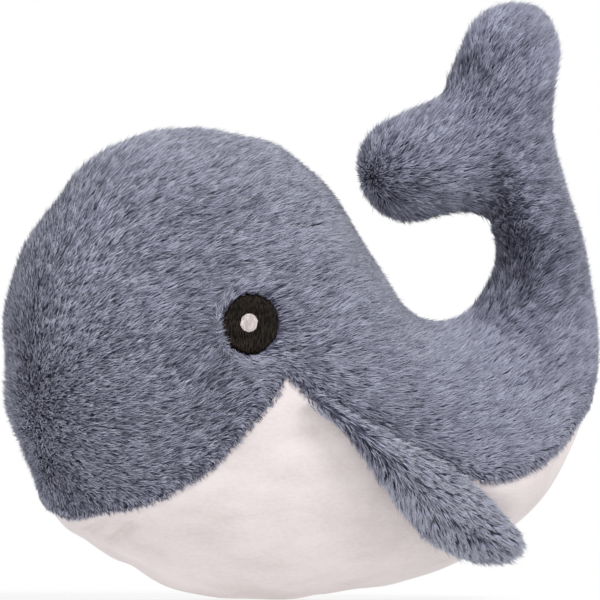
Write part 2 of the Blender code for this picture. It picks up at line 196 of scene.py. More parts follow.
# Acrylic faux fur, dyed and sheared: dark roots, pale frosted tips, and a tone of its own for each tuft.
# The pile's shape gives the eye its grain, so the surface itself is only soft and dull.
furPile, tree, shader = newMaterial(
    "acrylicFurPile", {"Roughness": 0.72, "IOR": 1.5, "Specular IOR Level": 0.3, "Sheen Weight": 0.06}
)
place = addNode(tree, "ShaderNodeUVMap", {"uv_map": "OFBake"})
axes = addNode(tree, "ShaderNodeSeparateXYZ", links={"Vector": place.outputs["UV"]})
rootToTip = addNode(tree, "ShaderNodeValToRGB", links={"Fac": axes.outputs["Y"]})
setRamp(rootToTip, [(0.0, "#737790"), (0.35, "#A0A3BB"), (0.7, "#D0D3E6"), (1.0, "#F2F5FF")])
tuftTone = addNode(tree, "ShaderNodeValToRGB", links={"Fac": axes.outputs["X"]})
setRamp(tuftTone, [(0.0, "#5C5B68"), (0.5, "#CFCED4"), (1.0, "#FFFEFC")])
mixed = addNode(tree, "ShaderNodeMix", {"data_type": "RGBA", "blend_type": "MULTIPLY", "Factor": 1.0})
tree.links.new(rootToTip.outputs["Color"], mixed.inputs["A"])
tree.links.new(tuftTone.outputs["Color"], mixed.inputs["B"])
tree.links.new(mixed.outputs["Result"], shader.inputs["Base Color"])

# Knitted polyester ground of the fur, dyed and darkened further as painted shade deep in the pile: only its
# shade shows between the tufts. Its stitches are 1.1 mm wide.
furGround, tree, shader = newMaterial("knittedFurGround", {"Roughness": 0.95, "Specular IOR Level": 0.1})
place = addNode(tree, "ShaderNodeTexCoord")
knit = addNode(
    tree,
    "ShaderNodeTexNoise",
    {"Scale": noiseScale(1.1), "Detail": 2.0},
    {"Vector": place.outputs["Object"]},
)
shade = addNode(tree, "ShaderNodeValToRGB", links={"Fac": knit.outputs["Fac"]})
setRamp(shade, [(0.3, "#565669"), (0.7, "#6C6C82")])
tree.links.new(shade.outputs["Color"], shader.inputs["Base Color"])

# Short brushed velour of polyester: a warm white nap 1 mm high that looks like suede, with faint streaks
# where it has been stroked. The streaks are a little coarser than real so that they show. Sizes are in mm.
velour = {"streakWidth": 1.1, "streakLength": 2.4, "streakTurn": 12.0, "streakShare": 0.55, "cloudSize": 14.0}
bellyVelour, tree, shader = newMaterial(
    "brushedVelour",
    {"Roughness": 0.9, "Specular IOR Level": 0.2, "Sheen Weight": 0.25, "Sheen Roughness": 0.6},
)
place = addNode(tree, "ShaderNodeTexCoord")
stroked = addNode(
    tree,
    "ShaderNodeMapping",
    {
        "Scale": (velour["streakWidth"] / velour["streakLength"], 1.0, 1.0),
        "Rotation": (0.0, math.radians(velour["streakTurn"]), 0.0),
    },
    {"Vector": place.outputs["Object"]},
)
streaks = addNode(
    tree,
    "ShaderNodeTexNoise",
    {"Scale": noiseScale(velour["streakWidth"]), "Detail": 3.0, "Roughness": 0.6},
    {"Vector": stroked.outputs["Vector"]},
)
clouds = addNode(
    tree,
    "ShaderNodeTexNoise",
    {"Scale": noiseScale(velour["cloudSize"]), "Detail": 2.0},
    {"Vector": stroked.outputs["Vector"]},
)
blended = addNode(
    tree,
    "ShaderNodeMath",
    {"operation": "MULTIPLY_ADD", 1: velour["streakShare"]},
    {0: streaks.outputs["Fac"], 2: clouds.outputs["Fac"]},
)
napColour = addNode(tree, "ShaderNodeValToRGB", links={"Fac": blended.outputs["Value"]})
setRamp(napColour, [(0.55, "#D6CBCA"), (0.78, "#DFD5D4"), (1.0, "#E6DCDC")])
tree.links.new(napColour.outputs["Color"], shader.inputs["Base Color"])
raised = addNode(
    tree, "ShaderNodeBump", {"Strength": 0.5, "Distance": 0.0004}, {"Height": blended.outputs["Value"]}
)
tree.links.new(raised.outputs["Normal"], shader.inputs["Normal"])


# Rayon embroidery thread laid in satin stitch: close parallel threads with a low silky gleam. Each thread is
# 0.4 mm thick, its shade changes about every 2.8 mm along it, and it leans by some degrees from upright.
thread = {"thickness": 0.4, "shadeLength": 2.8, "lean": 14.0}


# The thread's shade and bump both follow one noise, turned to the stitches and stretched along them.
def threadMaterial(name, dark, pale, roughness, gleam):
    material, tree, shader = newMaterial(name, {"Roughness": roughness, "Specular IOR Level": gleam})
    place = addNode(tree, "ShaderNodeTexCoord")
    along = addNode(
        tree,
        "ShaderNodeMapping",
        {
            "Scale": (1.0, 1.0, thread["thickness"] / thread["shadeLength"]),
            "Rotation": (0.0, math.radians(-thread["lean"]), 0.0),
        },
        {"Vector": place.outputs["Object"]},
    )
    fuzz = addNode(
        tree,
        "ShaderNodeTexNoise",
        {"Scale": noiseScale(thread["thickness"]), "Detail": 2.0},
        {"Vector": along.outputs["Vector"]},
    )
    shade = addNode(tree, "ShaderNodeValToRGB", links={"Fac": fuzz.outputs["Fac"]})
    setRamp(shade, [(0.42, dark), (0.72, pale)])
    tree.links.new(shade.outputs["Color"], shader.inputs["Base Color"])
    lifted = addNode(
        tree, "ShaderNodeBump", {"Strength": 0.6, "Distance": 0.0003}, {"Height": fuzz.outputs["Fac"]}
    )
    tree.links.new(lifted.outputs["Normal"], shader.inputs["Normal"])
    return material


blackThread = threadMaterial("blackRayonThread", "#020101", "#3A322B", 0.5, 0.08)
whiteThread = threadMaterial("whiteRayonThread", "#B8ABAB", "#F0E6E5", 0.6, 0.3)

print("camera and light")
# A long lens from far off, because the photo is nearly without perspective. The width is what it frames.
camera = {"width": 0.2514, "lens": 1200.0, "elevation": 0.0, "aim": (-0.0006, 0.0, 0.1255)}
camData = bpy.data.cameras.new("camera")
camData.lens = camera["lens"]
camData.sensor_width = 36.0
camData.clip_end = 50.0
cameraObject = bpy.data.objects.new("camera", camData)
away = camera["width"] * camera["lens"] / camData.sensor_width
tilt = math.radians(camera["elevation"])
cameraObject.location = Vector(camera["aim"]) + Vector((0.0, -math.cos(tilt), math.sin(tilt))) * away
cameraObject.rotation_euler = (math.radians(90) - tilt, 0.0, 0.0)
bpy.context.scene.collection.objects.link(cameraObject)
bpy.context.scene.camera = cameraObject
bpy.context.scene.view_settings.view_transform = "Standard"

# Lamps shine at the middle of the whale. Near it the floor's own glow leaves room for the shadow.
studio = {
    "sky": 0.57,
    "target": (0.0, 0.0, 0.12),
    "lamps": {
        "keyLamp": {"place": (0.85, -1.05, 1.28), "size": 0.5, "power": 16.8},
        "fillLamp": {"place": (-0.7, -1.5, 0.15), "size": 0.38, "power": 4.6},
        "backLamp": {"place": (0.3, 1.3, 1.1), "size": 1.0, "power": 9.0},
    },
    "floorSize": 8.0,
    "floorGlow": 0.75,
    "floorBounce": 0.6,
    "shadowReach": (0.2, 0.6),
}
for name, lamp in studio["lamps"].items():
    data = bpy.data.lights.new(name, "AREA")
    data.size, data.energy = lamp["size"], lamp["power"]
    lampObject = bpy.data.objects.new(name, data)
    lampObject.location = lamp["place"]
    towards = Vector(studio["target"]) - Vector(lamp["place"])
    lampObject.rotation_euler = towards.to_track_quat("-Z", "Y").to_euler()
    bpy.context.scene.collection.objects.link(lampObject)


# 1 for the rays by which the camera sees a thing, in a mirror or through glass too, and 0 for what lights it.
def seenRays(tree):
    path = addNode(tree, "ShaderNodeLightPath")
    seen = path.outputs["Is Camera Ray"]
    for ray in ("Is Glossy Ray", "Is Transmission Ray"):
        either = addNode(tree, "ShaderNodeMath", {"operation": "MAXIMUM"}, {0: seen, 1: path.outputs[ray]})
        seen = either.outputs["Value"]
    return seen


# The world lights the whale softly, and shows as white behind it.
world = bpy.data.worlds.new("studio")
world.use_nodes = True
tree = world.node_tree
tree.nodes.clear()
glow, white = (
    addNode(tree, "ShaderNodeBackground", {"Color": linear("#FFFFFF"), "Strength": strength})
    for strength in (studio["sky"], 1.0)
)
both = addNode(
    tree, "ShaderNodeMixShader", links={0: seenRays(tree), 1: glow.outputs[0], 2: white.outputs[0]}
)
addNode(tree, "ShaderNodeOutputWorld", links={"Surface": both.outputs[0]})
bpy.context.scene.world = world

# The paper floor is white where the camera sees it, with part of the shadow kept near the whale.
floorPaper, tree, shader = newMaterial("whitePaperFloor", {"Base Color": linear("#F4F4F4"), "Roughness": 0.9})
place = addNode(tree, "ShaderNodeTexCoord")
far = addNode(tree, "ShaderNodeVectorMath", {"operation": "LENGTH"}, {0: place.outputs["Object"]})
nearest, farthest = studio["shadowReach"]
fade = addNode(
    tree,
    "ShaderNodeMapRange",
    {"From Min": nearest, "From Max": farthest, "To Min": studio["floorGlow"]},
    {"Value": far.outputs["Value"]},
)
share = addNode(
    tree,
    "ShaderNodeMapRange",
    {"To Min": studio["floorBounce"]},
    {"Value": seenRays(tree), "To Max": fade.outputs["Result"]},
)
glow = addNode(tree, "ShaderNodeEmission", {"Color": linear("#FFFFFF"), "Strength": 1.0})
both = addNode(
    tree,
    "ShaderNodeMixShader",
    links={0: share.outputs["Result"], 1: shader.outputs["BSDF"], 2: glow.outputs["Emission"]},
)
tree.links.new(both.outputs[0], tree.nodes["Material Output"].inputs["Surface"])
side = studio["floorSize"] / 2
floorCorners = np.array([(-side, -side, 0.0), (side, -side, 0.0), (side, side, 0.0), (-side, side, 0.0)])
newPiece("paperFloor", floorCorners, [np.array([[0, 1, 2, 3]])], floorPaper)

print("body form")
# Ribs hold the back's x and z, the underside's x and z, as shares of length and height, and the half width
# as a share of half the body's width. In the tail's and fluke's tables the first tail rib's share stands for
# half the tail's width. Dents hold x, z, reach and depth, and a negative depth is a bump.
whaleForm = {
    "length": 0.250,
    "height": 0.2505,
    "bodyWidth": 0.136,
    "tailWidth": 0.044,
    "shift": (0.000223, 0.0, -0.001066),
    "fullness": 2.15,  # a ring is an ellipse at 2 and boxier above
    "widest": 0.52,  # share of the way from the back to the underside
    "sagHeight": 0.030,  # undersides below this settle on the floor
    "sagSpread": 0.86,
    "ringPoints": 8,
    "steps": (7, 9),
    "voxel": 0.0016,
    "smoothing": 6,
    "dents": [
        (0.385, 0.780, 0.011, 0.0013), (0.435, 0.768, 0.012, -0.0011), (0.476, 0.748, 0.012, 0.0008),
        (0.548, 0.693, 0.015, -0.0006), (0.590, 0.630, 0.015, 0.0006), (0.640, 0.540, 0.014, -0.0007),
        (0.665, 0.506, 0.012, 0.0009), (0.800, 0.506, 0.012, -0.0008), (0.824, 0.600, 0.010, -0.0014),
        (0.815, 0.637, 0.008, -0.0020), (0.735, 0.846, 0.010, -0.0026), (0.593, 0.718, 0.012, -0.0008),
        (0.610, 0.673, 0.010, -0.0010), (0.645, 0.640, 0.011, -0.0014), (0.690, 0.633, 0.011, -0.0008),
        (0.936, 0.710, 0.012, -0.0008), (0.958, 0.643, 0.016, -0.0016), (0.978, 0.576, 0.014, -0.0010),
        (0.320, 0.790, 0.020, 0.0006), (0.120, 0.712, 0.010, -0.0011), (0.090, 0.675, 0.012, 0.0007),
        (0.030, 0.590, 0.010, -0.0006), (0.000, 0.460, 0.012, -0.0012), (0.003, 0.400, 0.018, 0.0008),
        (0.008, 0.325, 0.012, -0.0022), (0.037, 0.217, 0.010, 0.0007), (0.062, 0.166, 0.009, -0.0014),
        (0.104, 0.124, 0.008, -0.0008), (0.133, 0.104, 0.008, 0.0015), (0.165, 0.083, 0.009, 0.0004),
        (0.225, 0.052, 0.012, 0.0018), (0.271, 0.024, 0.014, -0.0010), (0.598, 0.016, 0.014, 0.0006),
        (0.690, 0.038, 0.016, -0.0008), (0.950, 0.260, 0.020, 0.0008), (0.005, 0.440, 0.045, -0.0004),
    ],
    "flukeFold": {"line": ((0.755, 0.870), (0.815, 0.640)), "reach": 0.013, "passes": 70},
    "stepsAlongSeam": 6,
    "bodyRibs": [
        (0.013, 0.562, 0.011, 0.300, 0.44),
        (0.071, 0.656, 0.056, 0.172, 0.75),
        (0.148, 0.753, 0.150, 0.078, 0.93),
        (0.268, 0.800, 0.290, 0.014, 1.01),
        (0.396, 0.791, 0.425, -0.002, 1.02),
        (0.500, 0.746, 0.550, 0.011, 0.97),
        (0.572, 0.654, 0.675, 0.033, 0.88),
        (0.632, 0.550, 0.802, 0.080, 0.74),
        (0.692, 0.463, 0.919, 0.175, 0.60),
        (0.783, 0.474, 0.992, 0.328, 0.46),
        (0.831, 0.565, 1.003, 0.450, 0.385),
    ],
    "tailRibs": [
        (0.830, 0.634, 0.968, 0.600, 0.330),
        (0.790, 0.712, 0.920, 0.740, 0.305),
        (0.732, 0.828, 0.918, 0.850, 0.295),
        (0.756, 0.912, 0.941, 0.916, 0.280),
        (0.787, 0.989, 0.914, 0.988, 0.205),
    ],
    "bodyPoles": ((-0.004, 0.435), (0.863, 1.011)),
    "lowerFlukeRibs": [
        (0.840, 0.850, 0.850, 0.638, 0.250),
        (0.762, 0.849, 0.790, 0.652, 0.295),
        (0.698, 0.832, 0.730, 0.649, 0.295),
        (0.634, 0.807, 0.668, 0.634, 0.275),
        (0.597, 0.772, 0.615, 0.664, 0.195),
    ],
    "lowerFlukePoles": ((0.880, 0.735), (0.590, 0.713)),
    "frontSeam": [
        (0.060, 0.169), (0.084, 0.154), (0.108, 0.137), (0.134, 0.146), (0.162, 0.151), (0.196, 0.156),
        (0.238, 0.163), (0.284, 0.186), (0.332, 0.211), (0.374, 0.249), (0.412, 0.296), (0.445, 0.327),
        (0.474, 0.379),
    ],
    "rearSeam": [
        (0.545, 0.319), (0.628, 0.270), (0.716, 0.236), (0.790, 0.205), (0.833, 0.201), (0.868, 0.214),
        (0.902, 0.230), (0.937, 0.259), (0.962, 0.299), (0.990, 0.346),
    ],
}


# Shares of length and height become x and z, with y at zero.
def sidePoints(shares):
    shares = np.asarray(shares, float)
    x = (shares[..., 0] - 0.5) * whaleForm["length"]
    z = shares[..., 1] * whaleForm["height"]
    return np.stack([x, np.zeros_like(x), z], -1) + np.array(whaleForm["shift"])


# A rib's ring: from the widest point it reaches cos(turn)^(2 / fullness) of the way to the back or the
# underside, and sin(turn)^(2 / fullness) of the half width out.
# Near the floor the lower points settle towards the underside.
def ribRings(ribs):
    ribs = np.array(ribs)
    back, under = sidePoints(ribs[:, 0:2]), sidePoints(ribs[:, 2:4])
    widest = back + (under - back) * whaleForm["widest"]
    halfWidth = ribs[:, 4] * whaleForm["bodyWidth"] / 2
    turn, swell = ringTurns(whaleForm["ringPoints"])
    up, out = np.cos(turn), np.sin(turn)
    power = 2 / whaleForm["fullness"]
    reach = np.tile(swell * np.abs(up) ** power, (len(ribs), 1))
    spread = np.tile(swell * np.sign(np.round(out, 9)) * np.abs(out) ** power, (len(ribs), 1))
    underHeight = ribs[:, 3] * whaleForm["height"]
    sag = np.clip(1 - underHeight / whaleForm["sagHeight"], 0, 1)[:, None]
    settled = sag * np.minimum(1, 2 * up * up) * (up < -1e-9)
    reach += (1 - reach) * settled
    spread += (out * whaleForm["sagSpread"] - spread) * settled
    end = np.where((up > 1e-9)[None, :, None], back[:, None], under[:, None])
    rings = widest[:, None] + (end - widest[:, None]) * reach[..., None]
    rings[..., 1] -= spread * halfWidth[:, None]
    return rings


# A tail rib's width share times the tail's width, over the body's width and the first tail rib's share.
def tailRibs(ribs):
    scale = whaleForm["tailWidth"] / whaleForm["bodyWidth"] / whaleForm["tailRibs"][0][4]
    return [(*r[:4], r[4] * scale) for r in ribs]


bodyGrid = smoothForm(
    ribRings(whaleForm["bodyRibs"] + tailRibs(whaleForm["tailRibs"])),
    *sidePoints(whaleForm["bodyPoles"]),
    *whaleForm["steps"],
)
flukeGrid = smoothForm(
    ribRings(tailRibs(whaleForm["lowerFlukeRibs"])),
    *sidePoints(whaleForm["lowerFlukePoles"]),
    *whaleForm["steps"],
)
bodyPoints, bodyFaces = formFaces(bodyGrid)
flukePoints, flukeFaces = formFaces(flukeGrid)
bodyGround = newPiece(
    "bodyFurGround",
    np.concatenate([bodyPoints, flukePoints]),
    [bodyFaces[0], flukeFaces[0] + len(bodyPoints), bodyFaces[1], flukeFaces[1] + len(bodyPoints)],
    furGround,
)
remesh = bodyGround.modifiers.new("oneSkin", "REMESH")
remesh.mode, remesh.voxel_size, remesh.adaptivity = "VOXEL", whaleForm["voxel"], 0.0
soften = bodyGround.modifiers.new("soften", "SMOOTH")
soften.factor, soften.iterations = 0.5, whaleForm["smoothing"]
applyModifiers(bodyGround)


# How far points lie from a place in the side view.
def besidePlace(points, place):
    return np.linalg.norm(points[:, [0, 2]] - sidePoints(place)[[0, 2]], axis=1)


# How far points lie from a line in the side view: the distance to the nearest point between its ends.
def besideLine(points, ends):
    start, end = sidePoints(ends)[:, [0, 2]]
    points, step = points[:, [0, 2]], end - start
    along = np.clip((points - start) @ step / np.sum(step**2), 0, 1)
    return np.linalg.norm(points - start - along[:, None] * step, axis=1)


# Softens a mesh along a line: each pass moves a point half way to the mean of the middles of its edges, times
# a share that fades with its distance from the line.
def softenLine(mesh, line, reach, passes):
    points = meshArrays(mesh)[0]
    edges = np.empty(len(mesh.edges) * 2, np.int32)
    mesh.edges.foreach_get("vertices", edges)
    edgesAtPoint = np.bincount(edges, minlength=len(points))[:, None]
    step = 0.5 * fading(besideLine(points, line), reach)[:, None]
    for _ in range(passes):
        middles = np.repeat(points[edges.reshape(-1, 2)].mean(1), 2, axis=0)
        sums = np.stack([np.bincount(edges, middles[:, k], len(points)) for k in range(3)], -1)
        points += (sums / edgesAtPoint - points) * step
    mesh.vertices.foreach_set("co", points.astype(np.float32).ravel())
    mesh.update()


# The fold where the lower fluke leaves the tail is softened more than the rest.
softenLine(bodyGround.data, *whaleForm["flukeFold"].values())
skin, skinNormals, skinTriangles = meshArrays(bodyGround.data)

# Shallow dents where the filling is looser.
for x, z, dentReach, dentDepth in whaleForm["dents"]:
    skin -= skinNormals * (dentDepth * fading(besidePlace(skin, (x, z)), dentReach))[:, None]

# The seam peaks where the flipper is sewn in: the peak counts three times, so the spline reaches it.
frontSeam, rearSeam = sidePoints(whaleForm["frontSeam"]), sidePoints(whaleForm["rearSeam"])
peak = frontSeam[-1:]
seamPath = np.concatenate([frontSeam[:1], frontSeam, peak, peak, rearSeam, rearSeam[-1:]])
seamSteps = splineRows(seamPath[:, None], whaleForm["stepsAlongSeam"])[:, 0]


# How far a point lies above the seam between fur and belly in the side view, square to the seam: the height
# above it times the cosine of its slope.
def aboveSeam(points):
    middles, steps = (seamSteps[1:] + seamSteps[:-1]) / 2, np.diff(seamSteps, axis=0)
    height = points[:, 2] - np.interp(points[:, 0], seamSteps[:, 0], seamSteps[:, 2])
    return height / np.sqrt(1 + np.interp(points[:, 0], middles[:, 0], steps[:, 2] / steps[:, 0]) ** 2)


# Soft noise, mostly between -1 and 1: the sum of sines over the root of their count. Their waves run in many
# directions, from two thirds to five thirds of the wavelength long.
def softNoise(points, wavelength, seed, count=14):
    rolls = np.random.default_rng(seed)
    directions = unit(rolls.normal(size=(count, 3)))
    waves = directions * (2 * math.pi / wavelength) * rolls.uniform(0.6, 1.5, (count, 1))
    return np.sin(points @ waves.T + rolls.uniform(0, 2 * math.pi, count)).sum(1) / count**0.5


# The left eye's x runs back along the body and its -y faces outwards: it leans in at the top by the tilt, and
# turns with the cheek. It lies in the pile, on ground pressed down to the eye's depth.
eyePlace = {
    "at": (-0.020902, -0.066180, 0.115700),
    "tilt": 5.9,
    "turn": 4.0,
    "reach": 0.0175,
    "depth": 0.0028,
}
eyeFrame = np.array(
    Matrix.Translation(eyePlace["at"])
    @ Matrix.Rotation(math.radians(eyePlace["turn"]), 4, "Z")
    @ Matrix.Rotation(math.radians(-eyePlace["tilt"]), 4, "X")
)

print("belly")
# The velour lies near the outer form and turns in towards the seam. Folds hold the two ends in the side view
# as shares, then width and depth in metres. The cutter under the seam reaches a little below the floor.
bellyForm = {
    "depth": 0.0003,
    "seamDepth": 0.0010,
    "seamReach": 0.0028,
    "lumps": 0.00025,
    "lumpSize": 0.030,
    "cutterBelow": 0.02,
    "folds": [
        (0.140, 0.119, 0.166, 0.132, 0.0016, 0.0022),
        (0.178, 0.100, 0.214, 0.129, 0.0017, 0.0024),
        (0.120, 0.082, 0.155, 0.070, 0.0030, 0.0009),
        (0.205, 0.055, 0.250, 0.070, 0.0035, 0.0007),
        (0.520, 0.020, 0.560, 0.050, 0.0035, 0.0008),
    ],
}
belowSeam = np.maximum(-aboveSeam(skin), 0)
sunk = bellyForm["depth"] + bellyForm["seamDepth"] * fading(belowSeam, bellyForm["seamReach"])
sunk += bellyForm["lumps"] * softNoise(skin, bellyForm["lumpSize"], seed=3)
for x0, z0, x1, z1, foldWidth, foldDepth in bellyForm["folds"]:
    sunk += foldDepth * fading(besideLine(skin, ((x0, z0), (x1, z1))), foldWidth)
bellySkin = skin - skinNormals * sunk[:, None]
bellySkin[:, 2] = np.maximum(bellySkin[:, 2], 0.0)
belly = newPiece("bellyVelour", bellySkin, [skinTriangles], bellyVelour)

# The cutter is the space under the seam: its outline in the side view, carried across the whale.
reachOut = whaleForm["bodyWidth"]
ends = [(-reachOut * 2, 0, seamSteps[0, 2])], [(reachOut * 2, 0, seamSteps[-1, 2])]
floorLine = [(side * reachOut * 2, 0, -bellyForm["cutterBelow"]) for side in (1, -1)]
outline = np.concatenate([ends[0], seamSteps, ends[1], floorLine])
sides = np.stack([outline + (0, -reachOut, 0), outline + (0, reachOut, 0)])
count = len(outline)
number = np.arange(count)
walls = np.stack([number, np.roll(number, -1), np.roll(number, -1) + count, number + count], -1)
underSeam = newPiece(
    "underSeam", sides.reshape(-1, 3), [walls, number[None, ::-1], number[None] + count], bellyVelour
)
cut = belly.modifiers.new("seamEdge", "BOOLEAN")
cut.operation, cut.solver, cut.object = "INTERSECT", "EXACT", underSeam
applyModifiers(belly)
bpy.data.objects.remove(underSeam, do_unlink=True)

print("fur ground")
# Nap rows hold x and z in the side view as shares, the nap's rise towards the tail in degrees, and its lean
# as a share. Rows of painted light and shade hold x, z, reach and tone.
furForm = {
    "groundDepth": 0.0045,  # below the outer form
    "edgeDepth": 0.0016,  # the same beside the seam
    "edgeBand": 0.0015,  # the edge's full share holds to this height above the seam
    "edgeReach": 0.005,
    "edgeBlend": 0.003,
    "edgeLength": 0.62,  # how much shorter the fur is at the edge
    "edgeDrop": 1.5,  # how hard the nap turns down there
    "edgeLean": 0.2,
    "rootsUnderSeam": 0.0008,
    "backSeamReach": 0.008,  # from the seam along the back, where the nap runs straight
    "lowestGround": 0.001,
    "length": 0.0072,
    "lengthSpread": 0.12,
    "width": 0.00042,  # a tuft is a bundle of fibres, drawn as one
    "perSquareMetre": 2.56e6,
    "rootLean": 30.0,  # degrees from the normal
    "tipLean": 72.0,
    "leanSpread": 7.0,
    "bendAt": 0.40,  # share of the tuft's length
    "bendShade": 0.45,
    "widthSpread": 0.25,
    "nap": [
        (0.030, 0.430, 24, 0.83), (0.112, 0.635, 20, 0.85), (0.146, 0.568, 22, 0.92),
        (0.162, 0.702, 36, 1.0), (0.146, 0.434, 26, 0.85), (0.146, 0.300, 14, 0.85),
        (0.162, 0.200, 12, 0.92), (0.246, 0.735, 24, 1.0), (0.246, 0.635, 14, 1.0), (0.246, 0.501, 14, 1.0),
        (0.246, 0.367, 18, 1.0), (0.246, 0.250, 20, 1.0), (0.347, 0.735, 27, 1.0), (0.347, 0.635, 9, 1.0),
        (0.330, 0.501, 20, 1.0), (0.347, 0.367, 32, 1.0), (0.347, 0.267, 30, 1.0), (0.447, 0.702, 26, 1.0),
        (0.447, 0.601, 18, 1.0), (0.447, 0.401, 10, 1.0), (0.531, 0.601, 15, 1.0), (0.531, 0.501, 26, 1.0),
        (0.531, 0.401, 22, 1.0), (0.615, 0.501, 18, 1.0), (0.615, 0.401, 12, 1.0), (0.665, 0.334, 5, 1.0),
        (0.699, 0.417, 34, 1.0), (0.732, 0.300, 12, 1.0), (0.782, 0.434, 28, 1.0), (0.799, 0.334, 26, 1.0),
        (0.833, 0.250, 24, 1.0), (0.866, 0.501, 34, 1.0), (0.866, 0.401, 32, 1.0), (0.883, 0.300, 32, 1.0),
        (0.933, 0.501, 38, 1.0), (0.933, 0.401, 38, 1.0), (0.950, 0.317, 56, 1.0), (0.852, 0.578, 48, 0.45),
        (0.852, 0.525, 42, 0.8), (0.900, 0.585, 34, 0.85), (0.858, 0.668, 0, 0.75), (0.900, 0.668, 4, 0.85),
        (0.816, 0.702, 8, 0.85), (0.883, 0.752, 38, 0.8), (0.799, 0.785, 40, 1.0), (0.833, 0.835, 40, 0.95),
        (0.883, 0.835, 52, 0.93), (0.799, 0.902, 58, 0.85), (0.849, 0.953, 34, 0.93),
        (0.891, 0.902, 56, 0.92), (0.732, 0.785, 42, 1.0), (0.732, 0.702, 22, 1.0), (0.665, 0.769, 36, 1.0),
        (0.665, 0.702, 24, 0.90), (0.655, 0.668, 8, 0.78), (0.632, 0.735, 46, 0.62),
        (0.632, 0.677, -14, 0.65), (0.515, 0.345, -30, 0.95), (0.575, 0.315, -35, 0.95),
        (0.640, 0.285, -20, 0.95),
    ],
    "lightAndShadePatches": [
        (0.573, 0.627, 0.013, 0.34), (0.611, 0.526, 0.015, 0.32), (0.724, 0.442, 0.013, 0.26),
        (0.799, 0.367, 0.021, 0.20), (0.875, 0.409, 0.012, -0.10), (0.866, 0.290, 0.018, 0.12),
        (0.320, 0.385, 0.026, -0.24), (0.395, 0.320, 0.012, -0.12), (0.300, 0.250, 0.014, -0.10),
        (0.405, 0.412, 0.009, 0.26), (0.340, 0.535, 0.010, -0.12), (0.535, 0.560, 0.010, -0.12),
        (0.500, 0.465, 0.012, -0.10), (0.179, 0.693, 0.014, -0.14), (0.290, 0.660, 0.010, -0.12),
        (0.875, 0.500, 0.016, -0.16), (0.853, 0.585, 0.011, -0.12), (0.808, 0.692, 0.009, -0.20),
        (0.975, 0.500, 0.010, -0.12), (0.933, 0.690, 0.011, 0.10), (0.670, 0.672, 0.012, -0.16),
        (0.699, 0.760, 0.012, 0.10), (0.732, 0.835, 0.008, 0.22), (0.779, 0.890, 0.010, -0.28),
        (0.849, 0.920, 0.008, -0.14), (0.905, 0.886, 0.009, 0.12), (0.053, 0.310, 0.014, 0.24),
        (0.060, 0.430, 0.026, 0.08), (0.196, 0.493, 0.014, -0.09), (0.775, 0.240, 0.012, 0.18),
        (0.800, 0.484, 0.009, -0.20), (0.883, 0.794, 0.011, -0.10), (0.940, 0.300, 0.010, 0.14),
    ],
    "napReach": 0.017,
    "napWander": 6.0,
    "napWanderSize": 0.030,
    "strandWander": 11.0,
    "clumpSize": 0.0030,
    "clumpPull": 0.18,
    "tuftsInPiece": 32500,
    "tone": 0.52,
    "leanTone": 0.9,
    "clouds": 0.05,
    "cloudSize": 0.05,
    "clumpContrast": 0.36,
    "strandContrast": 0.24,
    "toneRange": (0.03, 0.97),
    "toneAround": 0.04,
    "evenFrom": (0.42, 0.80, 0.42),  # where the grain starts and stops to fade along the body, and how much
    "evenShade": 0.60,
}


# Near the seam the fur is shorter and its roots lie less deep: 1 at the seam and under it, fading with the
# distance above it.
def seamShare(points):
    return np.exp(-np.maximum(aboveSeam(points) - furForm["edgeBand"], 0) / furForm["edgeReach"])


# How deep the roots lie: the ground's depth goes over to the edge's by the given share, and to the eye's near
# an eye, by exp(-(distance / reach)^8).
def rootDepths(points, nearEdge):
    fromEye = np.linalg.norm(points * (1, 0, 1) - np.abs(points) * (0, 1, 0) - eyeFrame[:3, 3], axis=1)
    atEye = np.exp(-((fromEye / eyePlace["reach"]) ** 8))
    depth = furForm["groundDepth"] + (furForm["edgeDepth"] - furForm["groundDepth"]) * nearEdge
    return (depth + (eyePlace["depth"] - depth) * atEye)[:, None]


# Under the belly the ground sinks to its full depth, out of sight below the velour.
overBelly = np.clip(aboveSeam(skin) / furForm["edgeBlend"] + 0.5, 0, 1)
groundPoints = skin - skinNormals * rootDepths(skin, seamShare(skin) * overBelly)
groundPoints[:, 2] = np.maximum(groundPoints[:, 2], furForm["lowestGround"])
bodyGround.data.vertices.foreach_set("co", groundPoints.astype(np.float32).ravel())
bodyGround.data.materials.clear()
bodyGround.data.materials.append(furGround)
bodyGround.data.update()


# Random places on a surface, spread evenly by area over the wanted triangles, whose corners are weighted by
# 1 - u - v, u and v.
def scatter(points, normals, triangles, wanted, perArea):
    triangles = triangles[wanted]
    a, b, c = (points[triangles[:, k]] for k in range(3))
    areas = np.linalg.norm(np.cross(b - a, c - a), axis=1) / 2
    count = int(areas.sum() * perArea * furShare)
    chosen = random.choice(len(areas), count, p=areas / areas.sum())
    u, v = random.random((2, count))
    u, v = np.where(u + v > 1, (1 - u, 1 - v), (u, v))
    weights = np.stack([1 - u - v, u, v], -1)[..., None]
    corner = triangles[chosen]
    return (points[corner] * weights).sum(1), unit((normals[corner] * weights).sum(1))


# Weights of a cube's three numbers in the sums that give its place and tone.
mixedSums = np.array(
    [(12.9898, 78.233, 37.719), (39.346, 11.135, 83.155), (73.156, 52.235, 9.151), (4.898, 7.23, 61.13)]
)


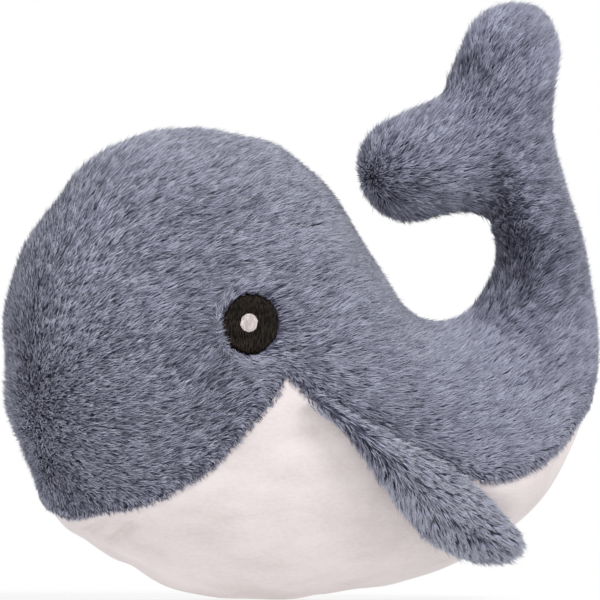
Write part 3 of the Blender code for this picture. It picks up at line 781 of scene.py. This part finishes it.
# The centre and tone of the nearest clump: space is cut in cubes, each with one centre at a place of its own.
# Its place and its tone are the fractions of a large number times the sines of four weighted sums.
def clumpCentres(points, size):
    cell = np.floor(points / size)
    best = np.full(len(points), np.inf)
    centre = np.zeros_like(points)
    tone = np.zeros(len(points))
    for offset in np.stack(np.meshgrid(*[(-1, 0, 1)] * 3, indexing="ij"), -1).reshape(-1, 3):
        near = cell + offset
        rolls = [np.mod(np.sin(near @ sums) * 43758.5453, 1) for sums in mixedSums]
        here = (near + np.stack(rolls[:3], -1)) * size
        gap = ((here - points) ** 2).sum(1)
        closer = gap < best
        best[closer], centre[closer], tone[closer] = gap[closer], here[closer], rolls[3][closer]
    return centre, tone


# A nap direction of the left panel's plane, carried to a surface by the least turn from -Y to its normal, and
# held back where the surface faces away.
def carriedNap(normals, direction):
    axis = np.cross((0.0, -1.0, 0.0), normals)
    facing = -normals[:, 1:2]
    turned = direction * facing + np.cross(axis, direction)
    turned += axis * (axis * direction).sum(1, keepdims=True) / np.maximum(1 + facing, 0.25)
    return unit(alongSurface(turned, normals))


# The nap's rise towards the tail and its lean: the mean of the table's values, each weighted by
# exp(-(distance / reach)^2) from its place in the side view, and far from them all by their nearness.
def napAt(points):
    table = np.array(furForm["nap"])
    places = sidePoints(table[:, :2])[:, [0, 2]]
    gaps = ((points[:, None, [0, 2]] - places) ** 2).sum(-1)
    weights = np.exp(-gaps / furForm["napReach"] ** 2) + 1e-9 / (gaps + 1e-6)
    return (weights @ table[:, 2:] / weights.sum(1, keepdims=True)).T


# Wide soft patches of painted light and shade on the pile: the tone is made lighter or darker at places in
# the side view, such as lighter fur in the flipper's shadow.
def paintedLightAndShade(points):
    shade = np.zeros(len(points))
    for x, z, reach, tone in furForm["lightAndShadePatches"]:
        shade += tone * fading(besidePlace(points, (x, z)), reach)
    return shade


# One tuft is a bent spindle: a point in the ground, a ring of three points at its bend, where it is widest,
# and a tip. It leaves the ground near the normal, then leans over along the nap, and is pulled towards the
# centre of its clump. The UV map holds the tuft's tone in u and its shade from root to tip in v. Where the
# grain is below 1, single tufts keep nearer to their clump's tone, and v goes over to one even shade.
def growFur(name, roots, normals, nap, lean, lengths, tones, clumpPull, contrast, grain, body):
    count = len(roots)
    wander = np.radians(furForm["strandWander"]) * random.normal(size=(count, 1))
    nap = unit(nap * np.cos(wander) + np.cross(normals, nap) * np.sin(wander))
    spread = furForm["leanSpread"] * random.normal(size=(2, count, 1))
    rootLean = np.radians(furForm["rootLean"] * lean[:, None] + spread[0])
    tipLean = np.radians(furForm["tipLean"] * lean[:, None] + spread[1])
    long = (lengths * (1 + furForm["lengthSpread"] * random.normal(size=count)))[:, None]
    first = normals * np.cos(rootLean) + nap * np.sin(rootLean)
    second = normals * np.cos(tipLean) + nap * np.sin(tipLean)
    centre, clumpTone = clumpCentres(roots, furForm["clumpSize"])
    pull = alongSurface(centre - roots, normals)
    middle = roots + first * long * furForm["bendAt"] + pull * clumpPull / 2
    tip = middle + second * long * (1 - furForm["bendAt"]) + pull * clumpPull
    across = unit(np.cross(second, normals))
    outer = unit(np.cross(across, second))
    thinnest, thickest = 1 - furForm["widthSpread"], 1 + furForm["widthSpread"]
    width = furForm["width"] / furShare**0.5 * random.uniform(thinnest, thickest, (count, 1))
    turn = random.uniform(0, 2 * math.pi, (count, 1))
    points = np.empty((count, 5, 3))
    points[:, 0], points[:, 4] = roots, tip
    for k in range(3):
        angle = turn + k * 2 * math.pi / 3
        points[:, 1 + k] = middle + (across * np.cos(angle) + outer * np.sin(angle)) * width / 2
    pattern = np.array([(0, 1, 2), (0, 2, 3), (0, 3, 1), (4, 2, 1), (4, 3, 2), (4, 1, 3)])
    bend = furForm["bendShade"]
    lowUv, highUv = [(0.5, 0), (0, bend), (1, bend)], [(0.5, 1), (1, bend), (0, bend)]
    uvPattern = np.array(lowUv * 3 + highUv * 3)
    ofClump = furForm["clumpContrast"] * (clumpTone - 0.5)
    ofTuft = furForm["strandContrast"] * grain * random.normal(size=count)
    tone = np.clip(tones + contrast * (ofClump + ofTuft), *furForm["toneRange"])
    uv = np.empty((count, len(uvPattern), 2))
    uv[..., 0] = tone[:, None] + (uvPattern[:, 0] - 0.5) * furForm["toneAround"]
    uv[..., 1] = furForm["evenShade"] + (uvPattern[:, 1] - furForm["evenShade"]) * grain[:, None]
    order = np.argsort(roots[:, 0], kind="stable")  # neighbours along the body share a piece
    groups = np.array_split(order, max(1, math.ceil(count / furForm["tuftsInPiece"])))
    for index, group in enumerate(groups, 1):
        faces = (np.arange(len(group)) * 5)[:, None, None] + pattern
        label = f"{name}{index:02d}" if len(groups) > 1 else name
        piece = newPiece(label, points[group].reshape(-1, 3), [faces.reshape(-1, 3)], furPile, uv[group])
        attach(piece, body)
    print(" ", name, count, "tufts in", len(groups), "pieces")


print("eyes")
# Sizes are the CAD's, and so are the depths of the back and front. Real thread is 0.4 mm thick; the eye's
# pitch is wider so that it shows.
eyeForm = {
    "width": 0.0230,
    "height": 0.0255,
    "back": 0.0028,
    "front": 0.0014,
    "dome": 0.0006,
    "place": (0.0, 0.0),
    "pitch": 0.00062,
    "ragged": 0.024,
    "seed": 11,
}
highlightForm = {
    "width": 0.0074,
    "height": 0.0082,
    "back": 0.0012,
    "front": 0.0005,
    "dome": 0.0003,
    "place": (-0.0008, 0.0004),
    "pitch": 0.00041,
    "ragged": 0.022,
    "seed": 12,
}
stitch = {"ridge": 0.00026, "stepsAcross": 6, "stepsAlong": 24, "teethPerThread": 3}


# Satin stitch in an oval: x runs across the threads, and each thread runs the full chord there. Thread ends
# make a ragged rim: the radius grows by a random tooth for its angle, times the radius to the sixth. The face
# domes with 1 - radius^2 and falls to the back at the rim with the root of 1 - share^8, and every thread is a
# ridge along the power 0.6 of a cosine.
def stitchedOval(form):
    threads = round(form["width"] / form["pitch"])
    across = np.linspace(-1, 1, threads * stitch["stepsAcross"] + 1)
    share = np.linspace(-1, 1, stitch["stepsAlong"] + 1)
    chord = np.sqrt(np.maximum(1 - across**2, 0))
    x = np.repeat(across[:, None], len(share), 1)
    z = chord[:, None] * share
    radius = np.sqrt(x**2 + z**2)
    teeth = np.random.default_rng(form["seed"]).normal(size=threads * stitch["teethPerThread"])
    jag = np.interp(np.arctan2(z, x), np.linspace(-math.pi, math.pi, len(teeth)), teeth)
    x, z = (c * (1 + form["ragged"] * jag * radius**6) for c in (x, z))
    edge = 1 - np.maximum(np.abs(across[:, None]) ** 8, np.abs(share[None]) ** 8)
    ridge = np.abs(np.cos(across * threads * math.pi / 2))[:, None] ** 0.6
    lift = (form["back"] - form["front"] + form["dome"] * (1 - radius**2)) * edge**0.5
    lift += stitch["ridge"] * ridge * edge
    lean = math.radians(thread["lean"])
    flatX, flatZ = x * form["width"] / 2, z * form["height"] / 2
    flatX, flatZ = (
        flatX * math.cos(lean) + flatZ * math.sin(lean) + form["place"][0],
        -flatX * math.sin(lean) + flatZ * math.cos(lean) + form["place"][1],
    )
    faceGrid = np.stack([flatX, form["back"] - lift, flatZ], -1)
    backGrid = np.stack([flatX, np.full_like(flatX, form["back"]), flatZ], -1)
    rows, columns = x.shape
    number = np.arange(rows * columns).reshape(rows, columns)
    corners = [number[:-1, :-1], number[1:, :-1], number[1:, 1:], number[:-1, 1:]]
    quads = np.stack(corners, -1).reshape(-1, 4)
    points = np.concatenate([faceGrid.reshape(-1, 3), backGrid.reshape(-1, 3)])
    return points, [quads, quads[:, ::-1] + rows * columns]


# Places a left piece's points on the whale, or mirrors them for the right with their faces turned.
def placed(points, faces, matrix, mirror):
    points = points @ matrix[:3, :3].T + matrix[:3, 3]
    if mirror:
        return points * (1, -1, 1), [f[:, ::-1] for f in faces]
    return points, faces


# Merges the doubles along rims and poles, so that the mesh is closed.
def mergeRims(piece):
    weld = piece.modifiers.new("weld", "WELD")
    weld.merge_threshold = 1e-6
    applyModifiers(piece)


for sideName, mirror in (("left", False), ("right", True)):
    for form, material, pieceName, node, slotName in (
        (eyeForm, blackThread, "EyeStitching", sideName + "_eye", "black_thread"),
        (highlightForm, whiteThread, "EyeHighlight", sideName + "_eye_highlight", "white_thread"),
    ):
        points, faces = placed(*stitchedOval(form), eyeFrame, mirror)
        piece = newPiece(sideName + pieceName, points, faces, material)
        mergeRims(piece)
        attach(piece, "body")
        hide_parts(node)

print("body fur")
# The pile beside an eye: a bare ring before and behind it, then fur that is turned aside, pushed out, shorter
# and more upright. Reaches and rings are shares of the eye's half width, and the rim is in metres.
besideEye = {
    "bare": (0.02, 0.0),
    "asideAtRim": 1.5,
    "asideReach": 0.5,
    "asideMost": 1.1,
    "reach": 0.11,
    "push": 0.3,
    "shorter": 0.45,
    "upright": 0.25,
    "rim": 0.0003,
    "flatShare": 0.75,
    "leastTowards": 0.05,
    "shortest": 0.35,
}
middles = skin[skinTriangles].mean(1)
overSeam = aboveSeam(middles) > -furForm["rootsUnderSeam"]
eyeCentre, eyeTurn = eyeFrame[:3, 3], eyeFrame[:3, :3]


# Distance past the rim of the left eye, in shares of its half width, and the way out from its centre.
def pastEye(points):
    local = (points - eyeCentre) @ eyeTurn
    shares = local[:, [0, 2]] / (eyeForm["width"] / 2, eyeForm["height"] / 2)
    out = np.stack([local[:, 0], np.zeros(len(points)), local[:, 2]], -1) @ eyeTurn.T
    return np.linalg.norm(shares, axis=1) - 1, unit(out)


evenStart, evenEnd, evenFall = furForm["evenFrom"]
for sideName, sign in (("left", -1.0), ("right", 1.0)):
    onSide = overSeam & (middles[:, 1] * sign > 0)
    roots, normals = scatter(skin, skinNormals, skinTriangles, onSide, furForm["perSquareMetre"])
    mirror = np.array((1.0, -sign, 1.0))
    roots, normals = roots * mirror, normals * mirror  # the right side grows as a left one
    beyond, outwards = pastEye(roots)
    kept = beyond > np.where(outwards[:, 0] < 0, *besideEye["bare"])
    roots, normals, beyond, outwards = roots[kept], normals[kept], beyond[kept], outwards[kept]

    rise, lean = napAt(roots)
    wander = furForm["napWander"] * softNoise(roots, furForm["napWanderSize"], seed=5)
    rise = np.radians(rise + wander)[:, None]
    flat = np.cos(rise) * np.array([[1.0, 0.0, 0.0]]) + np.sin(rise) * np.array([[0.0, 0.0, 1.0]])
    nap = carriedNap(normals, flat)
    nap[:, 1] *= np.clip(np.abs(roots[:, 1]) / furForm["backSeamReach"], 0, 1)

    inward = np.minimum((nap * outwards).sum(1, keepdims=True), 0)
    aside = np.clip(besideEye["asideAtRim"] - beyond / besideEye["asideReach"], 0, besideEye["asideMost"])
    nap -= outwards * inward * aside[:, None]
    nearEye = np.exp(-beyond / besideEye["reach"])
    nap = unit(nap + outwards * nearEye[:, None] * besideEye["push"])
    nearEdge = seamShare(roots)
    nap[:, 2] -= furForm["edgeDrop"] * nearEdge**2
    nap = unit(alongSurface(nap, normals))

    lengths = furForm["length"] * lean**0.7 * (1 - besideEye["shorter"] * nearEye)
    lengths = lengths * (1 - furForm["edgeLength"] * nearEdge)
    towardsEye = np.maximum(-(nap * outwards).sum(1), besideEye["leastTowards"])
    room = beyond * eyeForm["width"] / 2 + besideEye["rim"]  # a tuft that leans towards the eye ends there
    room = np.maximum(room / (besideEye["flatShare"] * towardsEye), besideEye["shortest"] * furForm["length"])
    lengths = np.minimum(lengths, room)

    tones = furForm["tone"] + furForm["clouds"] * softNoise(roots, furForm["cloudSize"], seed=9)
    # Painted light and shade: wide patches make the tone lighter or darker.
    tones = tones + furForm["leanTone"] * (lean - 1) + paintedLightAndShade(roots)
    roots = (roots - normals * rootDepths(roots, nearEdge)) * mirror
    along = roots[:, 0] / whaleForm["length"] + 0.5
    grain = 1 - evenFall * np.clip((along - evenStart) / (evenEnd - evenStart), 0, 1)
    growFur(
        sideName + "SideFur",
        roots,
        normals * mirror,
        nap * mirror,
        lean * (1 - furForm["edgeLean"] * nearEdge) * (1 - besideEye["upright"] * nearEye),
        lengths,
        tones,
        furForm["clumpPull"],
        1.0,
        grain,
        "body",
    )

print("flippers")
# Ribs hold the place along the length, the upper and lower edge as shares of the depth, and the thickness as
# a share of the bulge. Lengths are in metres.
flipperForm = {
    "length": 0.1290,
    "depth": 0.0335,
    "outerBulge": 0.0100,
    "innerBulge": 0.0052,
    "inset": 0.0022,
    "edgeInsets": (0.0016, 0.0050),
    "endInsets": (0.0020, 0.0118),
    "clumpPull": 0.6,
    "contrast": 1.5,
    "curl": 0.0160,
    "sewn": 0.34,  # share of the length that is sewn to the body
    "tuck": 0.0014,  # at the front end, inwards
    "tuckReach": 0.018,
    "ringPoints": 6,
    "steps": (9, 10),
    "ribs": [
        (0.080, 0.060, -0.035, 0.36),
        (0.230, 0.055, -0.205, 0.72),
        (0.390, 0.075, -0.545, 0.94),
        (0.550, 0.080, -0.880, 1.00),
        (0.720, -0.040, -1.010, 0.97),
        (0.880, -0.300, -0.810, 0.84),
    ],
    "poles": ((0.000, 0.025), (1.000, -0.420)),
    "thinnest": (0.0012, 0.0006),
    "furLength": 0.0068,
    "innerFurLength": 0.0034,
    "lengthWander": 0.08,
    "lengthWanderSize": 0.02,
    "shorterTip": 0.18,
    "lean": 0.96,
    "upperNap": (1.0, 0.0, -0.12),
    "hangingNap": (0.18, 0.0, -1.0),
    "hangingFade": 0.8,
    "perSquareMetre": 3.0e6,
    "parting": 0.50,  # share of the way from the lower edge to the upper
    "partingPaintedShade": 0.42,
    "partingReach": 0.13,
    "partingFade": 0.6,
    "partingSoftness": 0.16,
    "creaseReach": 0.25,
    "creaseLift": 0.35,
    "tone": 0.84,
    "tipTone": 0.10,
    "clouds": 0.06,
    "cloudSize": 0.03,
    "rootShade": 0.22,
    "rootReach": 0.34,
}

# The left flipper's x runs back and down along its sewn edge, its -y faces outwards, and it hangs along -z:
# the edge turns by the turn and dips by the dip, and the flipper leans about it by the lean, in degrees.
flipperPlace = {"at": (-0.002519, -0.069937, 0.086102), "turn": 13.9947, "dip": 26.5569, "lean": 9.83}
flipperFrame = np.array(
    Matrix.Translation(flipperPlace["at"])
    @ Matrix.Rotation(math.radians(flipperPlace["turn"]), 4, "Z")
    @ Matrix.Rotation(math.radians(flipperPlace["dip"]), 4, "Y")
    @ Matrix.Rotation(math.radians(flipperPlace["lean"]), 4, "X")
)


# The flipper is full outwards, along -y, and flatter inwards: each ring is an ellipse as high as its rib, and
# thicker on the outer half. Past the sewn edge it curls in with the square of the distance, and its front end
# is tucked in at the seam.
def flipperGrid():
    ribs, inset = np.array(flipperForm["ribs"]), flipperForm["inset"]
    top = ribs[:, 1] * flipperForm["depth"] - flipperForm["edgeInsets"][0]
    bottom = ribs[:, 2] * flipperForm["depth"] + flipperForm["edgeInsets"][1]
    room = np.maximum(top - bottom, flipperForm["thinnest"][0])
    middle = (top + bottom) / 2
    turn, swell = ringTurns(flipperForm["ringPoints"])
    bulge = np.where(np.sin(turn) > 0, flipperForm["outerBulge"], flipperForm["innerBulge"])
    thick = np.maximum(bulge * ribs[:, 3:4] - inset, flipperForm["thinnest"][1])
    rings = np.empty((len(ribs), len(turn), 3))
    rings[..., 0] = (ribs[:, 0] * flipperForm["length"])[:, None]
    rings[..., 1] = -swell * np.sin(turn) * thick
    rings[..., 2] = middle[:, None] + swell * np.cos(turn) * room[:, None] / 2
    size = np.array((flipperForm["length"], 0.0, flipperForm["depth"]))
    ends = [size * (along, 0.0, height) for along, height in flipperForm["poles"]]
    ends[0][0] += flipperForm["endInsets"][0]
    ends[1][0] -= flipperForm["endInsets"][1]
    grid = smoothForm(rings, *ends, *flipperForm["steps"])
    past = np.maximum(grid[..., 0] / flipperForm["length"] - flipperForm["sewn"], 0)
    past /= 1 - flipperForm["sewn"]
    tuck = fading(grid[..., 0], flipperForm["tuckReach"])
    grid[..., 1] += flipperForm["curl"] * past**2 + flipperForm["tuck"] * tuck
    return grid


flipperPoints, flipperFaces = formFaces(flipperGrid())
flipperRibs = np.array(flipperForm["ribs"])
for sideName, mirror in (("left", False), ("right", True)):
    sign = np.array((1.0, -1.0 if mirror else 1.0, 1.0))
    ground = newPiece(
        sideName + "FlipperGround", *placed(flipperPoints, flipperFaces, flipperFrame, mirror), furGround
    )
    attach(ground, sideName + "_flipper")
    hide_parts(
        sideName + "_flipper_outer_panel",
        sideName + "_flipper_inner_panel",
        sideName + "_flipper_stuffing",
    )
    points, normals, triangles = meshArrays(ground.data)
    everywhere = np.ones(len(triangles), bool)
    roots, normals = scatter(points, normals, triangles, everywhere, flipperForm["perSquareMetre"])
    local = ((roots * sign) - flipperFrame[:3, 3]) @ flipperFrame[:3, :3]
    localNormals = (normals * sign) @ flipperFrame[:3, :3]
    along = np.clip(local[:, 0] / flipperForm["length"], 0, 1)
    upper = np.interp(along, flipperRibs[:, 0], flipperRibs[:, 1]) * flipperForm["depth"]
    lower = np.interp(along, flipperRibs[:, 0], flipperRibs[:, 2]) * flipperForm["depth"]
    height = (local[:, 2] - lower) / np.maximum(upper - lower, 0.002)

    # The fur parts along the flipper: above the parting it lies along it, and below it hangs over the edge.
    # At the crease with the body it is lifted.
    fromParting = height - flipperForm["parting"]
    hanging = 1 / (1 + np.exp(fromParting / flipperForm["partingSoftness"] * 4))
    hanging = (hanging * (1 - flipperForm["hangingFade"] * along))[:, None]
    flat = np.array(flipperForm["upperNap"]) * (1 - hanging) + np.array(flipperForm["hangingNap"]) * hanging
    flat = unit(flat)
    crease = fading(height - 1, flipperForm["creaseReach"]) * (1 - along)
    flat[:, 2] += flipperForm["creaseLift"] * crease
    nap = unit(alongSurface(flat, localNormals))

    outerFace = np.clip(-localNormals[:, 1] * 2 + 0.5, 0, 1)
    inner, outer = flipperForm["innerFurLength"], flipperForm["furLength"]
    wander = flipperForm["lengthWander"] * softNoise(roots, flipperForm["lengthWanderSize"], seed=21)
    lengths = (inner + (outer - inner) * outerFace) * (1 + wander)
    lengths = lengths * (1 - flipperForm["shorterTip"] * along**3)

    tones = flipperForm["tone"] + flipperForm["tipTone"] * along
    tones += flipperForm["clouds"] * softNoise(roots, flipperForm["cloudSize"], seed=22)
    # Painted shade: the tufts along the parting are darker, where the pile opens.
    partingPaintedShade = flipperForm["partingPaintedShade"] * fading(fromParting, flipperForm["partingReach"])
    tones -= partingPaintedShade * (1 - flipperForm["partingFade"] * along)
    tones -= flipperForm["rootShade"] * fading(along, flipperForm["rootReach"])
    growFur(
        sideName + "FlipperFur",
        roots,
        normals,
        (nap @ flipperFrame[:3, :3].T) * sign,
        np.full(len(roots), flipperForm["lean"]),
        lengths,
        tones,
        flipperForm["clumpPull"],
        flipperForm["contrast"],
        np.ones(len(roots)),
        sideName + "_flipper",
    )

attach(bodyGround, "body")
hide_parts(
    "left_side_panel",
    "right_side_panel",
    "body_stuffing",
    "tail_stuffing",
    "upper_fluke_stuffing",
    "lower_fluke_stuffing",
)
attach(belly, "body")
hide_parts("belly_panel")

print("done")
